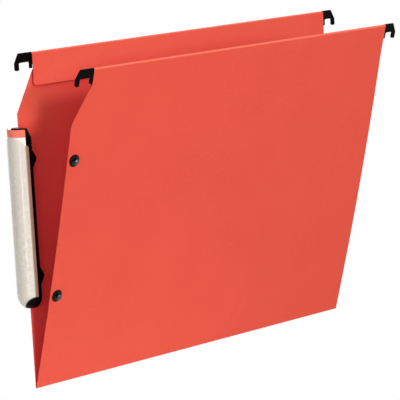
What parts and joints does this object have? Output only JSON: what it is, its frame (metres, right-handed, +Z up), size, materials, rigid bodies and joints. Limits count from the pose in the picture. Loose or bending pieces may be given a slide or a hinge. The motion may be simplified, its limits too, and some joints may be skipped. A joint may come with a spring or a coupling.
{
  "type": "lateral suspension file",
  "caption": "Card file folded into a V that hangs between cabinet rails by hooked steel-rod hems, with press studs on one edge and a crowned label holder with a clear lens.",
  "frame": {"origin": "midway between the four hook seats, at the height of the rails' top edges", "axes": "+X along the crease towards the end without the label, -Y towards the front panel with the studs, +Z up"},
  "size_m": [0.3544, 0.0729, 0.2484],
  "materials": {
    "card": "matte dyed card with fine fibres",
    "steel": "plain rolled strip",
    "black_plastic": "satin black moulding",
    "clear_plastic": "clear glossy moulding",
    "label_paper": "matte off-white paper with a plain orange band"
  },
  "bodies": {
    "rear": {"rear_panel": "card", "rear_rod": "steel", "rear_left_hook": "black_plastic", "rear_right_hook": "black_plastic", "label_holder": "black_plastic", "label_lens": "clear_plastic", "holder_upper_pin": "black_plastic", "holder_upper_cap": "black_plastic", "holder_lower_pin": "black_plastic", "holder_lower_cap": "black_plastic"},
    "front": {"front_panel": "card", "front_rod": "steel", "front_left_hook": "black_plastic", "front_right_hook": "black_plastic", "upper_stud": "black_plastic", "upper_stud_cap": "black_plastic", "lower_stud": "black_plastic", "lower_stud_cap": "black_plastic"},
    "label": {"label_insert": "label_paper"}
  },
  "joints": [
    {"name": "front_fold", "type": "hinge", "parent": "rear", "child": "front", "pos_m": [0, 0, -0.24079], "axis": [1, 0, 0], "range_deg": [-8.5, 164]},
    {"name": "label_slide", "type": "slide", "parent": "rear", "child": "label", "axis": [0, 0.1409, 0.99], "range_m": [0, 0.12]}
  ]
}
